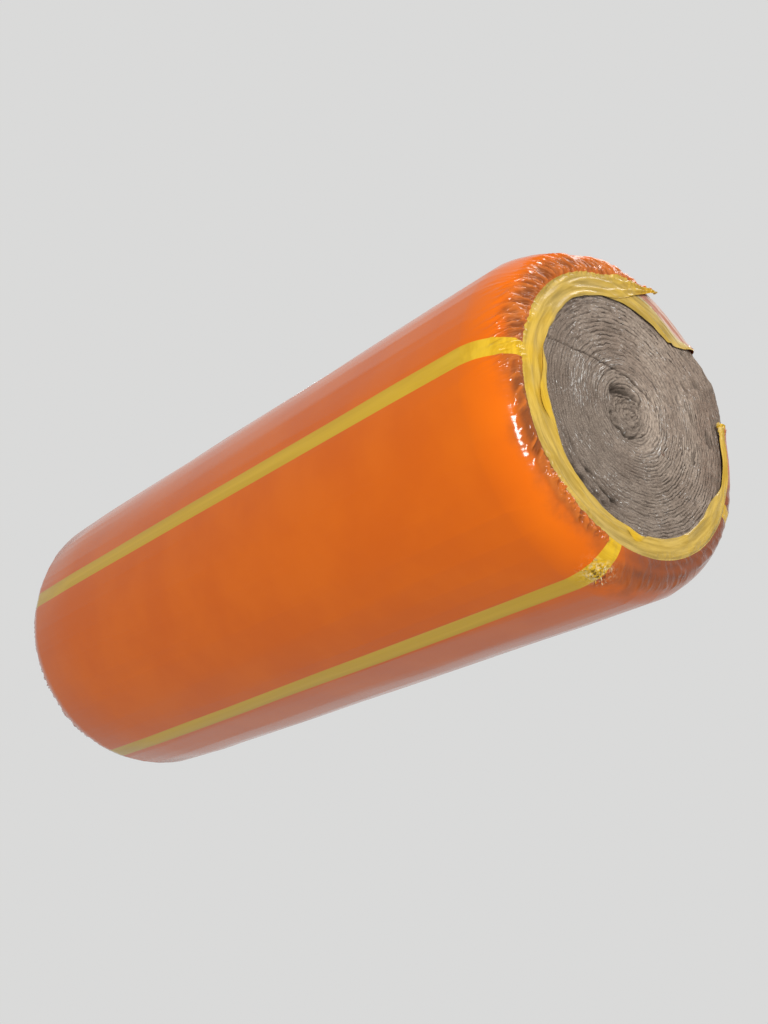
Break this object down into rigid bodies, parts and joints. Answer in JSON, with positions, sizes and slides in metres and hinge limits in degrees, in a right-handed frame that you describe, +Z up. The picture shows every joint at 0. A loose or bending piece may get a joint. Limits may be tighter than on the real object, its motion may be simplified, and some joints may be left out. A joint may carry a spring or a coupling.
{
  "type": "insulation roll",
  "caption": "Wound blanket of mineral wool, compressed into a roll and held in a printed film sleeve that is turned in over both open ends.",
  "frame": {"origin": "on the floor, under the middle of the roll's length and width", "axes": "+Z is up; +Y runs along the roll's axis, out of its whole end; the torn end faces -Y; +X is to the right, seen from the torn end"},
  "size_m": [0.4499, 1.14, 0.4499],
  "materials": {
    "mineral_wool": "matt, fibrous, brown-grey glass mineral wool",
    "printed_film": "glossy orange polyethylene film with plain yellow bands and stripes"
  },
  "bodies": {
    "root": {"wool_roll": "mineral_wool", "film_sleeve": "printed_film"}
  },
  "joints": []
}
